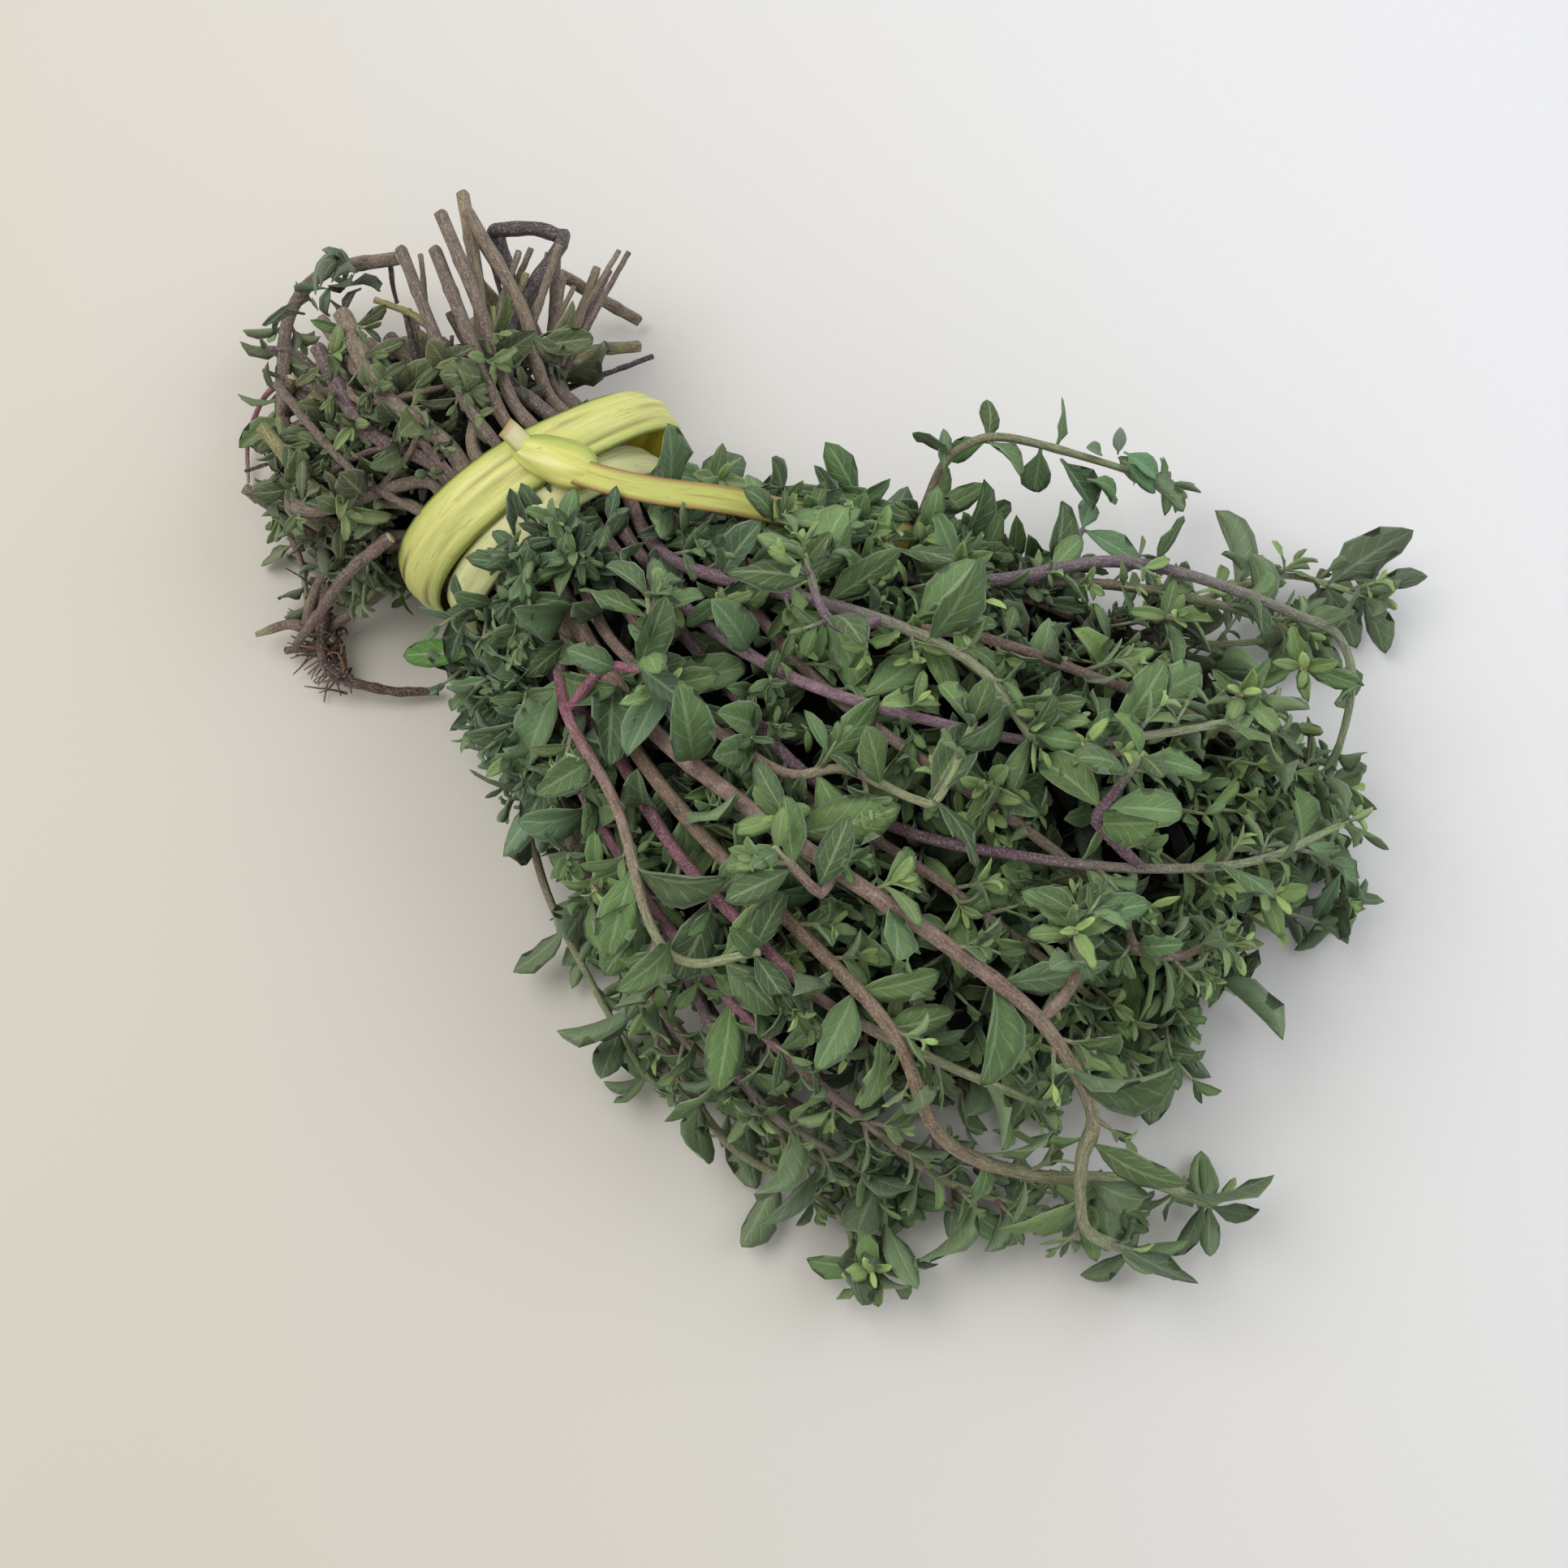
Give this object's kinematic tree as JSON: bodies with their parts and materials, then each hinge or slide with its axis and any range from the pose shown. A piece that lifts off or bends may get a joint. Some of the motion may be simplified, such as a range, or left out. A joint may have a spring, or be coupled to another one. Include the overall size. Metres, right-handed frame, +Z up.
{
  "type": "marjoram bundle",
  "caption": "Cut bundle of fresh marjoram lying on its side: leafy sprigs that fan out from a neck tied with a knotted strip of green leaf, with bare cut ends behind it.",
  "frame": {"origin": "middle of the bounding box in plan, on the surface that the bundle lies on", "axes": "+X along the bundle from the cut ends to the leafy tips, +Y across it to its left when seen from above looking along +X, +Z up"},
  "size_m": [0.2722, 0.1954, 0.0809],
  "materials": {
    "foliage": "matt, finely felted green leaf",
    "leaf_strip": "fresh yellow-green leaf blade with a soft sheen"
  },
  "bodies": {
    "root": {"arching_sprig": "foliage", "bare_sprig": "foliage", "brown_sprig": "foliage", "crimson_sprig": "foliage", "dusky_sprig": "foliage", "edge_sprig": "foliage", "far_corner_sprig": "foliage", "far_sprig": "foliage", "floor_sprig_far": "foliage", "floor_sprig_near": "foliage", "front_floor_sprig": "foliage", "front_sprig": "foliage", "heart": "foliage", "hooked_sprig": "foliage", "leaf_strip_tie": "leaf_strip", "left_flank_sprig": "foliage", "lilac_sprig": "foliage", "lower_side_sprig": "foliage", "mauve_sprig": "foliage", "pink_sprig": "foliage", "ridge_sprig": "foliage", "thick_sprig": "foliage", "tip_sprig": "foliage", "trailing_sprig": "foliage", "upper_side_sprig": "foliage", "violet_sprig": "foliage", "wine_sprig": "foliage"}
  },
  "joints": []
}
